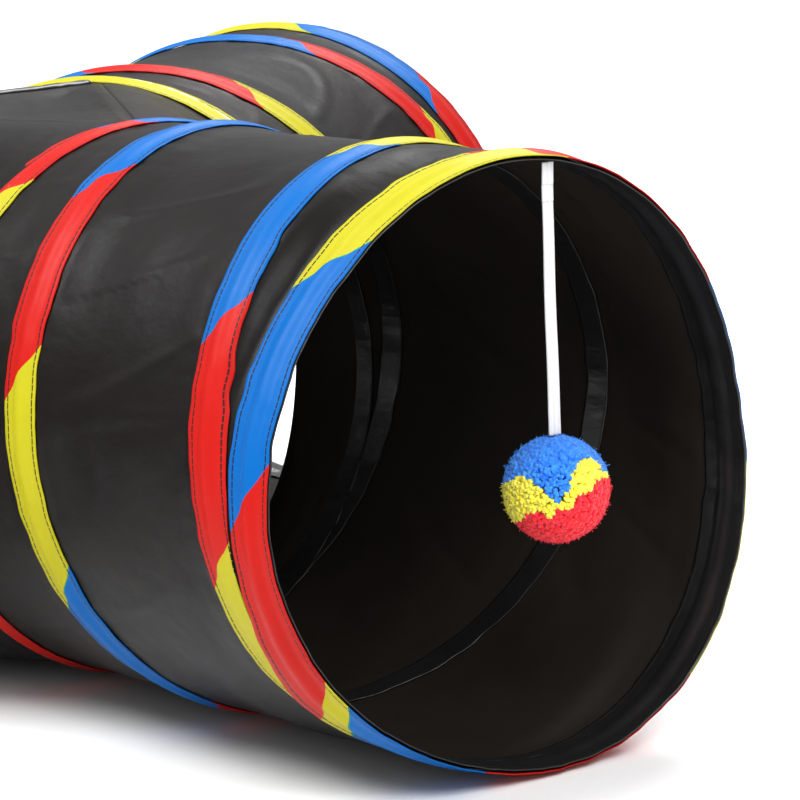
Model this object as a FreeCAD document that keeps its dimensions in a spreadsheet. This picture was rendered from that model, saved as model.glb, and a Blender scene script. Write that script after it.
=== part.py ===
import FreeCAD, Part
import math
import os

import Sketcher

from FreeCAD import Matrix, Placement, Rotation, Vector

# Collapsible three-way pet tunnel. Three fabric legs leave a common hub at 120 degrees.
# Each leg is a cloth sleeve held round by a wire hoop at its mouth, a wire coil along it
# and a second hoop where it meets the hub. A sewn tape covers every wire on the outside
# and a binding strip backs it on the inside. A yarn pompom hangs in the front mouth.
#
# Row frame: +Z up, floor at z = 0, origin under the centre of the hub, front leg along +X.
# Leg frame: origin at the centre of the mouth, +Z runs inward to the hub, +X points down.

doc = FreeCAD.newDocument("pet_tunnel")

# ---------------------------------------------------------------- driving dimensions (mm)

DIMENSIONS = [
    ("cloth_radius", 125.0, "outside of the cloth tube"),
    ("cloth_thickness", 0.6, "doubled coated cloth"),
    ("leg_length", 360.0, "hub centre to mouth centre"),
    ("hub_hoop_reach", 100.0, "hub centre to hub-side hoop"),
    ("axis_height", 128.55, "leg axis above the floor"),
    ("wire_diameter", 2.2, "spring steel wire"),
    ("wire_orbit", 126.2, "leg axis to wire centre"),
    ("tape_thickness", 0.5, "satin tape"),
    ("tape_inner_radius", 125.1, "flat margins of the tape"),
    ("ridge_inner_radius", 127.4, "tape over the wire, inside"),
    ("ridge_outer_radius", 127.8, "tape over the wire, outside"),
    ("channel_half", 1.5, "half width of the wire channel"),
    ("mouth_tape_width", 25.0, "wide tape round a mouth"),
    ("mouth_wire_depth", 12.0, "mouth edge to its wire"),
    ("coil_tape_width", 22.0, "tape on the coil"),
    ("hub_tape_width", 18.0, "tape on the hub hoop"),
    ("binding_inner_radius", 123.4, "inside face of the bindings"),
    ("binding_outer_radius", 124.0, "outside face of the coil binding"),
    ("mouth_binding_outer", 124.9, "outside face of the mouth binding"),
    ("mouth_skew", 8.05, "degrees the mouth hoop sits askew"),
    ("coil_pitch", 131.0, "advance per turn of the coil"),
    ("coil_setback", 17.0, "mouth centre to coil centre at the bottom"),
    ("coil_lead", 45.0, "degrees of coil before the bottom"),
    ("coil_turns", 2.05, "turns before trimming"),
    ("wire_lead", 12.0, "degrees of the coil's wire before the bottom"),
    ("wire_turns", 1.8, "turns of the coil's wire, clear of both hoops' tapes"),
    ("trim_gap", 0.4, "cloth gap between tapes"),
    ("panel_reach", 90.7, "hub centre to the hub panels' ends"),
    ("panel_gap", 0.2, "gap at a panel edge"),
    ("floor_flat_radius", 60.0, "corner radius of the flat floor triangle"),
    ("floor_slope_radius", 84.0, "corner radius where the floor panel levels"),
    ("seam_width", 6.0, "folded hub seam"),
    ("seam_height", 2.0, "folded hub seam"),
    ("seam_length", 153.0, "folded hub seam"),
    ("strap_width", 6.0, "flat elastic cord"),
    ("strap_thickness", 1.2, "flat elastic cord"),
    ("tab_length", 5.4, "sewn end of the elastic"),
    ("pompom_radius", 22.5, "cut pile ball"),
    ("tie_radius", 4.0, "tie round the middle of the yarn"),
    ("tie_thickness", 0.8, "radius of the tie's cord"),
    ("tie_room", 1.0, "radius of its groove in the yarn"),
]

sheet = doc.addObject("Spreadsheet::Sheet", "Dims")
for row, (alias, value, note) in enumerate(DIMENSIONS, start=1):
    sheet.set(f"A{row}", alias)
    sheet.set(f"B{row}", str(value))
    sheet.set(f"C{row}", note)
    sheet.setAlias(f"B{row}", alias)
doc.recompute()


def size(name):
    """The value of a driving dimension."""
    return float(sheet.get(name))


def bind(item, **expressions):
    """Ties properties of an object to the spreadsheet, with `Dims.` written as `$`."""
    for name, expression in expressions.items():
        item.setExpression(name, expression.replace("$", "Dims."))
    return item


# ---------------------------------------------------------------- frames of the three legs

LEGS = {"front": 0.0, "back": 120.0, "side": 240.0}
SKEW_AXIS = Vector(1, 1, 0)
BLOCK = 400.0          # side of the blocks that trim sleeves and coils, larger than a leg


def leg_frame(azimuth):
    """Placement that takes the leg frame to the row frame."""
    turn = math.radians(azimuth)
    outward = Vector(math.cos(turn), math.sin(turn), 0)
    down, inward = Vector(0, 0, -1), -outward
    across = inward.cross(down)
    mouth = outward * size("leg_length") + Vector(0, 0, size("axis_height"))
    return Placement(Matrix(
        down.x, across.x, inward.x, mouth.x,
        down.y, across.y, inward.y, mouth.y,
        down.z, across.z, inward.z, mouth.z,
        0, 0, 0, 1))


MOUTH_SKEW = Placement(Vector(), Rotation(SKEW_AXIS, size("mouth_skew")))

# ---------------------------------------------------------------- builders for common shapes

nodes = {}             # node name -> document object that carries its solid


def keep(name, item, placement=None):
    """Names an object as a sub-part and puts it in place."""
    item.Label = name
    if placement is not None:
        item.Placement = placement
    nodes[name] = item
    return item


def outline(sketch, corners):
    """A closed outline through corners given as pairs of expressions."""
    written = [(x.replace("$", "Dims."), y.replace("$", "Dims.")) for x, y in corners]
    points = [Vector(float(sheet.evalExpression(x)), float(sheet.evalExpression(y)), 0)
              for x, y in written]
    count = len(points)
    for index, point in enumerate(points):
        sketch.addGeometry(Part.LineSegment(point, points[(index + 1) % count]), False)
    for index in range(count):
        sketch.addConstraint(Sketcher.Constraint("Coincident", index, 2, (index + 1) % count, 1))
    for index, (x, y) in enumerate(written):
        for kind, expression, value in (("DistanceX", x, points[index].x),
                                        ("DistanceY", y, points[index].y)):
            number = sketch.addConstraint(Sketcher.Constraint(kind, -1, 1, index, 1, value))
            sketch.setExpression(f"Constraints[{number}]", expression)
    return sketch


def channel_corners(centre, half_width):
    """Section of a tape that lies flat at both margins and rises over a wire: (radius, depth)."""
    flat_in, flat_out = "$tape_inner_radius", "$tape_inner_radius + $tape_thickness"
    top_in, top_out = "$ridge_inner_radius", "$ridge_outer_radius"
    foot, crown = "$channel_half + 2 * $tape_thickness", "$channel_half + 0.4 * $tape_thickness"
    side = [
        (flat_in, half_width), (flat_out, half_width), (flat_out, foot), (top_out, crown),
    ]
    hollow = [(top_in, "$channel_half - 0.2"), (flat_in, "$channel_half")]
    upper = [(x, f"{centre} + ({y})") for x, y in side]
    lower = [(x, f"{centre} - ({y})") for x, y in reversed(side)]
    inner = [(x, f"{centre} - ({y})") for x, y in reversed(hollow)]
    inner += [(x, f"{centre} + ({y})") for x, y in hollow]
    return upper + lower + inner


def revolved(name, corners):
    """PartDesign body turned about the leg axis from a section in the plane of radius and depth."""
    body = doc.addObject("PartDesign::Body", name)
    section = body.newObject("Sketcher::SketchObject", name + "_section")
    plane = next(item for item in body.Origin.OriginFeatures if item.Role == "XZ_Plane")
    section.AttachmentSupport = (plane, [""])
    section.MapMode = "FlatFace"
    outline(section, corners)
    turned = body.newObject("PartDesign::Revolution", name + "_turned")
    turned.Profile = section
    turned.ReferenceAxis = (section, ["V_Axis"])
    turned.Angle = 360
    body.Tip = turned
    return body


def hoop(name):
    """Closed ring of wire round the leg axis."""
    ring = doc.addObject("Part::Torus", name)
    return bind(ring, Radius1="$wire_orbit", Radius2="$wire_diameter / 2")


def coil(name, section, turns, lead):
    """A section wound along the leg as one helix, which starts some degrees before the bottom."""
    spine = doc.addObject("Part::Helix", name + "_spine")
    bind(spine, Pitch="$coil_pitch", Height="$coil_pitch * " + turns, Radius="$wire_orbit")
    swept = doc.addObject("Part::Sweep", name + "_swept")
    swept.Sections = [section]
    swept.Spine = (spine, ["Edge1"])
    swept.Solid = True
    swept.Frenet = True
    start = size("coil_setback") - size("coil_pitch") * size(lead) / 360
    swept.Placement = Placement(Vector(0, 0, start), Rotation(Vector(0, 0, 1), -size(lead)))
    return swept


def coil_wire(name):
    """Wire that starts behind the mouth tape and ends before the hub hoop's tape.

    Its round section is drawn with twelve sides, which keeps the long swept faces simple.
    """
    section = doc.addObject("Part::RegularPolygon", name + "_section")
    section.Polygon = 12
    bind(section, Circumradius="$wire_diameter / 2")
    section.Placement = Placement(Vector(size("wire_orbit"), 0, 0), Rotation(Vector(1, 0, 0), 90))
    return coil(name, section, "$wire_turns", "wire_lead")


def cut(name, base, tool):
    """One object with the room of another taken out."""
    result = doc.addObject("Part::Cut", name)
    result.Base = base
    result.Tool = tool
    return result


def block_before_mouth(name):
    """Block in front of the askew plane just behind the mouth tape."""
    block = doc.addObject("Part::Box", name)
    block.Length = block.Width = block.Height = BLOCK
    depth = size("mouth_tape_width") + size("trim_gap")
    corner = Placement(Vector(-BLOCK / 2, -BLOCK / 2, depth - BLOCK), Rotation())
    block.Placement = MOUTH_SKEW.multiply(corner)
    return block


def block_behind_coil(name):
    """Block that starts where the hub hoop's tape begins."""
    block = doc.addObject("Part::Box", name)
    block.Length = block.Width = block.Height = BLOCK
    hub_tape = size("leg_length") - size("hub_hoop_reach") - size("hub_tape_width") / 2
    block.Placement = Placement(Vector(-BLOCK / 2, -BLOCK / 2, hub_tape - size("trim_gap")), Rotation())
    return block


# ---------------------------------------------------------------- the three legs

HOOP_DEPTH = "($leg_length - $hub_hoop_reach)"
COIL_HALF = "$coil_tape_width / 2"
HUB_HALF = "$hub_tape_width / 2"


def sleeve(name):
    """Cloth tube from the mouth tape to the hub hoop, cut askew at the mouth."""
    outer = bind(doc.addObject("Part::Cylinder", name + "_outer"), Radius="$cloth_radius",
                 Height=HOOP_DEPTH + " - $panel_gap")
    inner = bind(doc.addObject("Part::Cylinder", name + "_inner"),
                 Radius="$cloth_radius - $cloth_thickness", Height=HOOP_DEPTH)
    tube = cut(name + "_tube", outer, inner)
    return cut(name, tube, block_before_mouth(name + "_mouth_trim"))


def coil_strip(name, corners):
    """A coiled strip trimmed where it runs under the mouth tape and into the hub hoop's tape."""
    section = doc.addObject("Sketcher::SketchObject", name + "_section")
    section.Placement = Placement(Vector(), Rotation(Vector(1, 0, 0), 90))
    outline(section, corners)
    strip = coil(name, section, "$coil_turns", "coil_lead")
    trimmed = cut(name + "_at_mouth", strip, block_before_mouth(name + "_mouth_trim"))
    return cut(name, trimmed, block_behind_coil(name + "_hub_trim"))


def mouth_binding(name):
    """Glossy strip inside the mouth, as wide as the tape outside it."""
    return revolved(name, [
        ("$binding_inner_radius", "0"), ("$mouth_binding_outer", "0"),
        ("$mouth_binding_outer", "$mouth_tape_width"), ("$binding_inner_radius", "$mouth_tape_width")])


def hub_hoop_binding(name):
    """Strip inside the hub hoop. Its hub half is thicker and holds the hub panels' edge."""
    return revolved(name, [
        ("$binding_inner_radius", f"{HOOP_DEPTH} - {HUB_HALF}"),
        ("$binding_outer_radius", f"{HOOP_DEPTH} - {HUB_HALF}"),
        ("$binding_outer_radius", HOOP_DEPTH),
        ("$cloth_radius", HOOP_DEPTH),
        ("$cloth_radius", f"{HOOP_DEPTH} + {HUB_HALF}"),
        ("$binding_inner_radius", f"{HOOP_DEPTH} + {HUB_HALF}")])


for leg, azimuth in LEGS.items():
    frame = leg_frame(azimuth)
    mouth_frame = frame.multiply(MOUTH_SKEW)
    mouth_wire = mouth_frame.multiply(Placement(Vector(0, 0, size("mouth_wire_depth")), Rotation()))
    hub_wire = frame.multiply(
        Placement(Vector(0, 0, size("leg_length") - size("hub_hoop_reach")), Rotation()))

    keep(f"{leg}_sleeve", sleeve(f"{leg}_sleeve"), frame)
    keep(f"{leg}_mouth_hoop", hoop(f"{leg}_mouth_hoop"), mouth_wire)
    keep(f"{leg}_mouth_tape", revolved(
        f"{leg}_mouth_tape", channel_corners("$mouth_wire_depth", "$mouth_tape_width / 2")), mouth_frame)
    keep(f"{leg}_mouth_binding", mouth_binding(f"{leg}_mouth_binding"), mouth_frame)

    strip = [("$binding_inner_radius", f"-{COIL_HALF}"), ("$binding_outer_radius", f"-{COIL_HALF}"),
             ("$binding_outer_radius", COIL_HALF), ("$binding_inner_radius", COIL_HALF)]
    wire = coil_wire(f"{leg}_coil_wire")
    keep(f"{leg}_coil_wire", wire, frame.multiply(wire.Placement))
    keep(f"{leg}_coil_tape", coil_strip(f"{leg}_coil_tape", channel_corners("0", COIL_HALF)), frame)
    keep(f"{leg}_coil_binding", coil_strip(f"{leg}_coil_binding", strip), frame)

    keep(f"{leg}_hub_hoop", hoop(f"{leg}_hub_hoop"), hub_wire)
    keep(f"{leg}_hub_hoop_tape", revolved(
        f"{leg}_hub_hoop_tape", channel_corners(HOOP_DEPTH, HUB_HALF)), frame)
    keep(f"{leg}_hub_hoop_binding", hub_hoop_binding(f"{leg}_hub_hoop_binding"), frame)

# ---------------------------------------------------------------- the hub

CORNERS = {"front_back": 60.0, "back_side": 180.0, "side_front": 300.0}
HALF_LEG = math.cos(math.radians(60))      # a leg's direction seen along the corner next to it
LEG_SLANT = math.sin(math.radians(60))


def prism(name, circumradius, height, placement):
    """Triangular plate with a corner towards each leg."""
    plate = doc.addObject("Part::Prism", name)
    plate.Polygon = 3
    plate.Placement = placement
    return bind(plate, Circumradius=circumradius, Height=height)


def drum(name, half_width, half_height):
    """Elliptical drum lying across a corner, centred on the edge of the hub's flat triangle."""
    rim = doc.addObject("Part::Ellipse", name + "_rim")
    bind(rim, MajorRadius=half_height, MinorRadius=half_width)
    upright = Rotation(Vector(1, 0, 0), 90).multiply(Rotation(Vector(0, 0, 1), 90))
    rim.Placement = Placement(Vector(), upright)
    body = doc.addObject("Part::Extrusion", name)
    body.Base = rim
    body.DirMode = "Custom"
    body.Dir = Vector(0, 1, 0)
    body.Solid = True
    body.Symmetric = True
    return bind(body, LengthFwd="2 * $panel_reach")


def side_panel(name):
    """Cloth that wraps one corner of the hub from top to floor, in the corner's own frame.

    It is straight across the corner, and its ends meet both hoops as round arcs.
    """
    reach, radius = "$panel_reach", "$cloth_radius"
    inside = f"({radius} - $cloth_thickness)"
    outer = drum(name + "_outside", f"{radius} * {LEG_SLANT}", radius)
    inner = drum(name + "_inside", f"{inside} * {LEG_SLANT}", inside)
    shell = cut(name + "_shell", outer, inner)
    near, far = "0", f"({radius} * {LEG_SLANT} + 5)"
    wedge_plan = doc.addObject("Sketcher::SketchObject", name + "_plan")
    across = [(at, f"({reach} - ({reach} * {HALF_LEG} + {at}) * {HALF_LEG}) / {LEG_SLANT}")
              for at in (near, far)]
    outline(wedge_plan, [(at, "-" + width) for at, width in across]
            + [(at, width) for at, width in reversed(across)])
    wedge_plan.Placement = Placement(Vector(0, 0, -size("cloth_radius") - 5), Rotation())
    wedge = doc.addObject("Part::Extrusion", name + "_wedge")
    wedge.Base = wedge_plan
    wedge.DirMode = "Custom"
    wedge.Dir = Vector(0, 0, 1)
    wedge.Solid = True
    bind(wedge, LengthFwd=f"2 * {radius} + 10")
    panel = doc.addObject("Part::Common", name)
    panel.Base = shell
    panel.Tool = wedge
    return panel


def floor_panel(name):
    """Triangle of cloth that sags from the hub's corners to lie flat on the floor."""
    rise = size("axis_height") - size("cloth_radius")
    flat = Placement(Vector(0, 0, rise), Rotation())
    rim = prism(name + "_rim", "$panel_reach - 2 * $panel_gap", "$cloth_thickness", flat)

    def dish(label, lift):
        corners = []
        for end, radius, z in (("flat", "$floor_flat_radius", lift),
                               ("slope", "$floor_slope_radius", lift + rise)):
            triangle = doc.addObject("Part::RegularPolygon", f"{label}_{end}")
            triangle.Polygon = 3
            bind(triangle, Circumradius=radius)
            triangle.Placement = Placement(Vector(0, 0, z), Rotation())
            corners.append(triangle)
        solid = doc.addObject("Part::Loft", label)
        solid.Sections = corners
        solid.Solid = True
        solid.Ruled = True
        return solid

    whole = doc.addObject("Part::Fuse", name + "_whole")
    whole.Base = rim
    whole.Tool = dish(name + "_outside", 0.0)
    return cut(name, whole, dish(name + "_inside", size("cloth_thickness")))


keep("hub_top_panel", prism(
    "hub_top_panel", "$panel_reach - 2 * $panel_gap", "$cloth_thickness",
    Placement(Vector(0, 0, size("axis_height") + size("cloth_radius") - size("cloth_thickness")),
              Rotation())))
keep("hub_floor_panel", floor_panel("hub_floor_panel"))
for corner, azimuth in CORNERS.items():
    turned = Placement(Vector(0, 0, size("axis_height")), Rotation(Vector(0, 0, 1), azimuth))
    edge = Placement(Vector(size("panel_reach") * HALF_LEG, 0, 0), Rotation())
    keep(f"hub_side_panel_{corner}", side_panel(f"hub_side_panel_{corner}"), turned.multiply(edge))

# Folded seam along the top edge between the back leg and the side leg: half an elliptical bead.
seam_bead = bind(doc.addObject("Part::Ellipse", "hub_top_seam_bead"),
                 MajorRadius="$seam_width / 2", MinorRadius="$seam_height")
seam_bead.Placement = Placement(Vector(), Rotation(Vector(1, 0, 0), 90))
seam_roll = doc.addObject("Part::Extrusion", "hub_top_seam_roll")
seam_roll.Base = seam_bead
seam_roll.DirMode = "Custom"
seam_roll.Dir = Vector(0, 1, 0)
seam_roll.Solid = True
seam_roll.Symmetric = True
bind(seam_roll, LengthFwd="$seam_length")
seam_room = bind(doc.addObject("Part::Box", "hub_top_seam_room"), Length="$seam_width",
                 Width="$seam_length", Height="$seam_height")
seam_room.Placement = Placement(
    Vector(-size("seam_width") / 2, -size("seam_length") / 2, 0), Rotation())
hub_top_seam = doc.addObject("Part::Common", "hub_top_seam")
hub_top_seam.Base = seam_roll
hub_top_seam.Tool = seam_room
keep("hub_top_seam", hub_top_seam, Placement(
    Vector(-size("panel_reach") * HALF_LEG, 0,
           size("axis_height") + size("cloth_radius") + size("panel_gap") / 2), Rotation()))

# ---------------------------------------------------------------- the hanging toy

# The elastic leaves the mouth's top edge a little to the back leg's side, hangs straight
# and curls a few millimetres on its way down. Heights are from the leg's axis.
TAB_TOP = Vector(349.5, 26.0, 117.6)
ROUTE = [Vector(349.5, 26.0, 110.8), Vector(349.5, 26.0, 76.0), Vector(349.5, 27.5, 12.0)]
POMPOM = Vector(349.5, 27.5, -11.1)


def above_floor(point):
    """A point given from the leg's axis, in the row frame."""
    return point + Vector(0, 0, size("axis_height"))


def rounded_route(points):
    """Straight runs joined by tangent arcs, each as large as its two runs allow."""
    edges, start = [], points[0]
    for before, corner, after in zip(points, points[1:], points[2:]):
        into, out = corner - before, after - corner
        turn = into.getAngle(out)
        setback = 0.45 * min(into.Length, out.Length)
        radius = setback / math.tan(turn / 2)
        print(f"cord bend radius {radius:.0f} mm, turn {math.degrees(turn):.1f} degrees")
        first = corner - Vector(into).normalize() * setback
        last = corner + Vector(out).normalize() * setback
        bisector = (Vector(out).normalize() - Vector(into).normalize()).normalize()
        middle = corner + bisector * (radius / math.cos(turn / 2) - radius)
        edges += [Part.LineSegment(start, first).toShape(), Part.Arc(first, middle, last).toShape()]
        start = last
    edges.append(Part.LineSegment(start, points[-1]).toShape())
    return Part.Wire(edges)


tab = bind(doc.addObject("Part::Box", "toy_cord_tab"), Length="$strap_thickness",
           Width="$strap_width", Height="$tab_length")
keep("toy_cord_tab", tab, Placement(above_floor(TAB_TOP) - Vector(
    size("strap_thickness") / 2, size("strap_width") / 2, size("tab_length")), Rotation()))

cord_route = doc.addObject("Part::Feature", "toy_cord_route")
cord_route.Shape = rounded_route([above_floor(point) for point in ROUTE])
strap_section = bind(doc.addObject("Part::Plane", "toy_cord_section"),
                     Length="$strap_thickness", Width="$strap_width")
strap_section.Placement = Placement(above_floor(ROUTE[0]) - Vector(
    size("strap_thickness") / 2, size("strap_width") / 2, 0), Rotation())
cord = doc.addObject("Part::Sweep", "toy_cord")
cord.Sections = [strap_section]
cord.Spine = (cord_route, [f"Edge{number}" for number in (1, 2, 3)])
cord.Solid = True
keep("toy_cord", cord)

ball = bind(doc.addObject("Part::Sphere", "toy_pompom_ball"), Radius="$pompom_radius")
groove = bind(doc.addObject("Part::Torus", "toy_pompom_groove"),
              Radius1="$tie_radius", Radius2="$tie_room")
keep("toy_pompom", cut("toy_pompom", ball, groove), Placement(above_floor(POMPOM), Rotation()))
tie = bind(doc.addObject("Part::Torus", "toy_pompom_tie"),
           Radius1="$tie_radius", Radius2="$tie_thickness")
keep("toy_pompom_tie", tie, Placement(above_floor(POMPOM), Rotation()))

# ---------------------------------------------------------------- checks and files

doc.recompute()
for item in doc.Objects:
    broken = {"Invalid", "Error"} & set(item.State)
    if broken:
        raise RuntimeError(f"{item.Label} did not compute: {sorted(broken)}")
for name, item in nodes.items():
    if item.Shape.isNull() or not item.Shape.isValid() or len(item.Shape.Solids) != 1:
        raise RuntimeError(f"{name} is not one valid solid")

strap_area = size("strap_width") * size("strap_thickness")
print(f"cord length {cord_route.Shape.Length:.1f} mm, volume "
      f"{nodes['toy_cord'].Shape.Volume:.1f} against {strap_area * cord_route.Shape.Length:.1f} mm3")

os.makedirs("parts", exist_ok=True)
for name, item in nodes.items():
    item.Shape.exportStep(f"parts/{name}.step")
print(f"{len(nodes)} sub-parts written")
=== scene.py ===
# %% [markdown]
# A three-way pop-up pet tunnel
#
# Three cloth legs meet in a soft hub. Spring wire, sewn under bright satin tape, holds every
# leg round, and a yarn pompom hangs on flat elastic in the front mouth. Everything here is
# cut flat and then rolled or folded into place, so that is how the pieces are modelled: a flat
# grid with its size in metres, then a rule that says where each point of the cloth goes. A
# sculpted tube would look the same from afar, but its weave, stitches and colour lengths
# would have nothing to follow.

# %% Load the frame
import math

import bpy
import numpy as np
from mathutils import Matrix, Vector


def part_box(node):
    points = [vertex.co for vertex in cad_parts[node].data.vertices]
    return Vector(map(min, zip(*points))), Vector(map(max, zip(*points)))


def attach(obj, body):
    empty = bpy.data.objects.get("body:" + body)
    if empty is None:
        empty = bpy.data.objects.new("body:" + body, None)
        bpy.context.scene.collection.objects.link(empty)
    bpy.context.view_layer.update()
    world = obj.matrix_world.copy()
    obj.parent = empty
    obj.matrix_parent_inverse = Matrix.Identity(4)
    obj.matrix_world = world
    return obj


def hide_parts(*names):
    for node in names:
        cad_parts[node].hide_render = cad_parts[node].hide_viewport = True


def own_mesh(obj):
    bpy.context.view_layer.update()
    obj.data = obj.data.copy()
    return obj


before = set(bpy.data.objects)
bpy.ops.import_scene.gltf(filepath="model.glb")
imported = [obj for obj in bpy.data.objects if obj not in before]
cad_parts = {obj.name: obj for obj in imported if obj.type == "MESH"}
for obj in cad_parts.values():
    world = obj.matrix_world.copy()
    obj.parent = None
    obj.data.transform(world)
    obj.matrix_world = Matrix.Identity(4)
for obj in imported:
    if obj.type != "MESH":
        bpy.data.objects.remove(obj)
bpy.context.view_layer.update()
MM = 0.001
print("parts in the frame:", len(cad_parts))

# %% [markdown]
# The camera comes first, with a long lens, a little above the tunnel and to the side of the
# front mouth. A long lens keeps the round mouths from looking stretched.

# %% Camera
CAMERA_PLACE = Vector((1.849, -1.277, 0.531))
CAMERA_TURN = math.radians(140.84)     # compass direction of the view, from +X towards +Y
CAMERA_TILT = math.radians(-10.66)
CAMERA_ROLL = math.radians(-1.55)

forward = Vector((math.cos(CAMERA_TILT) * math.cos(CAMERA_TURN),
                  math.cos(CAMERA_TILT) * math.sin(CAMERA_TURN), math.sin(CAMERA_TILT)))
level = Vector((math.sin(CAMERA_TURN), -math.cos(CAMERA_TURN), 0))
upright = level.cross(forward)
right = level * math.cos(CAMERA_ROLL) + upright * math.sin(CAMERA_ROLL)
up = upright * math.cos(CAMERA_ROLL) - level * math.sin(CAMERA_ROLL)
camera = bpy.data.objects.new("camera", bpy.data.cameras.new("camera"))
camera.data.lens = 217.5
camera.data.clip_end = 60
camera.matrix_world = Matrix.Translation(CAMERA_PLACE) @ Matrix(
    (right, up, -forward)).transposed().to_4x4()
bpy.context.scene.collection.objects.link(camera)
bpy.context.scene.camera = camera
print("camera", round((CAMERA_PLACE - Vector((0.36, 0, 0.13))).length, 2), "m from the mouth")

# %% [markdown]
# The frame's hub hoop gives the axis height and the radius of the wire, and its tape gives the
# hub tape's width. The other widths are the stock widths of the tapes. A leg has its own
# directions, and any point of it is a radius, an angle and a depth. The angle starts at the
# floor, climbs the side that faces the next leg and passes the top at half a turn. The depth
# starts at the mouth.

# %% Sizes read from the frame
LEG_TURNS = {"front": 0.0, "back": 120.0, "side": 240.0}
hoop_low, hoop_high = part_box("front_hub_hoop")
tape_low, tape_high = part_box("front_hub_hoop_tape")
AXIS_HEIGHT = (hoop_low.z + hoop_high.z) / 2
WIRE_RADIUS = (hoop_high.x - hoop_low.x) / 2
WIRE_ORBIT = (hoop_high.z - hoop_low.z) / 2 - WIRE_RADIUS
HUB_REACH = (hoop_low.x + hoop_high.x) / 2
HUB_TAPE_WIDTH = tape_high.x - tape_low.x
COIL_TAPE_WIDTH = 22 * MM
MOUTH_TAPE_WIDTH = 25 * MM
LINING_WIDTH = 14 * MM
LEG_LENGTH = 360 * MM
HOOP_DEPTH = LEG_LENGTH - HUB_REACH
CLOTH_RADIUS = 124.9 * MM
TAPE_RADIUS = 125.6 * MM
BINDING_RADIUS = 123.9 * MM
COIL_PITCH = 131 * MM
COIL_SETBACK = 17 * MM
TILT = 12.5 * MM                       # how far a mouth leans out at the floor and in at the side
CLOTH_THICKNESS, TAPE_THICKNESS, BINDING_THICKNESS = 0.5 * MM, 0.4 * MM, 0.5 * MM
AROUND = 2 * math.pi
SMALLEST = 1e-9
print(f"axis {AXIS_HEIGHT:.4f}, wire at {WIRE_ORBIT:.4f}, hub hoop {HUB_REACH:.3f} from the centre")

# %% [markdown]
# A wire hoop in cloth is never a true circle. The front mouth is the one that gets handled,
# so its hoop has sprung a few millimetres out of round. This easing is full at the mouth and
# dies out before the next turn of the coil, and every layer there shares it, so that tape,
# cloth and binding stay on each other. Behind it the sleeve arches up a little at the top.

# %% Where a point of a leg goes
EASED = {"front": 1.0, "back": 0.0, "side": 0.5}
# Waves round a hoop: how many, then the cosine and the sine part.
SWELL = [(1, 0.006, 0.0), (2, 0.023, 0.005), (3, -0.030, -0.034)]   # shares of the radius
SLIP = [(1, 3.6, -2.9), (2, 0.0, -6.1)]                             # millimetres of depth
SHORT_ROOM, MORE_ROOM = 12 * MM, 55 * MM     # the depth in which the easing dies out
FAR_SIDE, FAR_SPREAD = math.radians(250), math.radians(260)
ARCH_HEIGHT, ARCH_TOP, ARCH_SPREAD = 8.6 * MM, math.radians(178), 72


def smooth(value):
    """0 below 0, 1 above 1 and a soft step between."""
    value = np.clip(value, 0, 1)
    return value * value * (3 - 2 * value)


def lean(angle):
    """Depth of a mouth's edge at an angle."""
    return TILT * (np.sin(angle) - np.cos(angle))


def waves(terms, angle):
    """Sum of the waves round a hoop at an angle."""
    return sum(cosine * np.cos(count * angle) + sine * np.sin(count * angle)
               for count, cosine, sine in terms)


def ease(leg, angle, radius, depth):
    """Moves a point near the mouth with its hoop, which has sprung a little out of round."""
    turned = np.mod(angle - FAR_SIDE + math.pi, AROUND) - math.pi
    hump = np.cos(np.clip(turned / FAR_SPREAD, -0.5, 0.5) * math.pi) ** 2
    room = SHORT_ROOM + MORE_ROOM * hump
    share = EASED[leg] * (1 - smooth((depth - lean(angle) - MOUTH_TAPE_WIDTH) / room))
    from_top = np.degrees(np.abs(np.mod(angle, AROUND) - ARCH_TOP))
    inwards = np.clip(1 - depth / HOOP_DEPTH, 0, 1) ** 0.6
    arch = ARCH_HEIGHT * smooth(1 - from_top / ARCH_SPREAD) * inwards * (EASED[leg] - share)
    return (radius * (1 + share * waves(SWELL, angle)) + arch,
            depth + share * waves(SLIP, angle) * MM)


def pointing(degrees):
    """The level direction at a turn from +X."""
    turn = math.radians(degrees)
    return np.array([math.cos(turn), math.sin(turn), 0.0])


def place(leg, angle, radius, depth):
    """Row-frame points of a leg, from angles, radii and depths."""
    radius, depth = ease(leg, angle, radius, depth)
    outward = pointing(LEG_TURNS[leg])
    down = np.array([0.0, 0.0, -1.0])
    across = np.cross(-outward, down)
    mouth = outward * LEG_LENGTH + np.array([0, 0, AXIS_HEIGHT])
    return (mouth + np.outer(radius * np.cos(angle), down)
            + np.outer(radius * np.sin(angle), across) - np.outer(depth, outward))


def coil_depth(angle):
    """Depth of the coil at an angle that keeps growing from turn to turn.

    The cloth pulls it towards the mouth where it starts and on its way down the far side.
    """
    pull = np.where(angle < AROUND, 22 * MM, 9 * MM) * np.clip(-np.sin(angle), 0, 1)
    foot = 14 * MM * smooth((math.radians(57) - angle) / math.radians(26))
    return COIL_SETBACK + COIL_PITCH * angle / AROUND - pull - foot


print("mouth edge at the floor and at the top:", lean(0) / MM, lean(math.pi) / MM, "mm")

# %% [markdown]
# Cloth needs unevenness at several sizes. A small noise made with numpy gives it: random
# heights on a coarse grid, smoothed in between, which repeats round the leg so that the cloth
# closes without a step. Its seed is fixed, so the tunnel is the same every time.


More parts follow.
